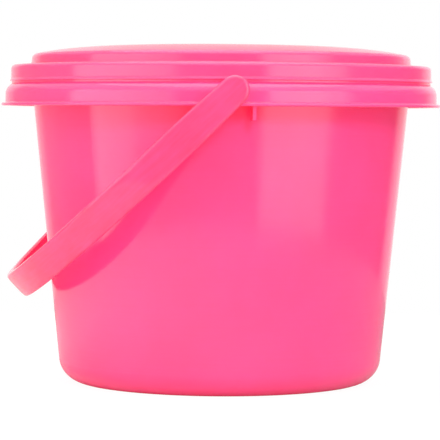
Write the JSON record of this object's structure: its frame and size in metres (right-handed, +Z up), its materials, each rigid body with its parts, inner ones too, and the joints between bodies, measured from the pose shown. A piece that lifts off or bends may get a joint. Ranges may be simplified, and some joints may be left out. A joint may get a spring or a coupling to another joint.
{
  "type": "brush washing bucket",
  "caption": "Round tapered plastic pail with a push-on domed lid, swinging strap handle, drop-in palette tray and drop-in divider for rinsing brushes.",
  "frame": {"origin": "centre of the plane that the foot ring stands on", "axes": "+Z up along the bucket's axis; the handle's pivots lie on a line along Y and its grip hangs towards -X at rest"},
  "size_m": [0.22, 0.2292, 0.1683],
  "materials": {
    "pink_plastic": "glossy, slightly translucent moulded polypropylene",
    "white_plastic": "satin moulded polypropylene"
  },
  "bodies": {
    "bucket": {"bucket_body": "pink_plastic"},
    "handle": {"handle": "pink_plastic"},
    "lid": {"lid": "pink_plastic"},
    "tray": {"palette_tray": "white_plastic"},
    "divider": {"wash_divider": "pink_plastic"}
  },
  "joints": [
    {"name": "handle_swing", "type": "hinge", "parent": "bucket", "child": "handle", "pos_m": [0, 0, 0.1453], "axis": [0, 1, 0], "range_deg": [-5.8, 273]},
    {"name": "lid_lift", "type": "slide", "parent": "bucket", "child": "lid", "axis": [0, 0, 1], "range_m": [0, 0.22]},
    {"name": "tray_lift", "type": "slide", "parent": "bucket", "child": "tray", "axis": [0, 0, 1], "range_m": [0, 0.19]},
    {"name": "divider_lift", "type": "slide", "parent": "bucket", "child": "divider", "axis": [0, 0, 1], "range_m": [0, 0.165]}
  ],
  "couplings": [
    {"joint": "tray_lift", "follows": "lid_lift", "ratio": 0.86},
    {"joint": "divider_lift", "follows": "lid_lift", "ratio": 0.75}
  ]
}
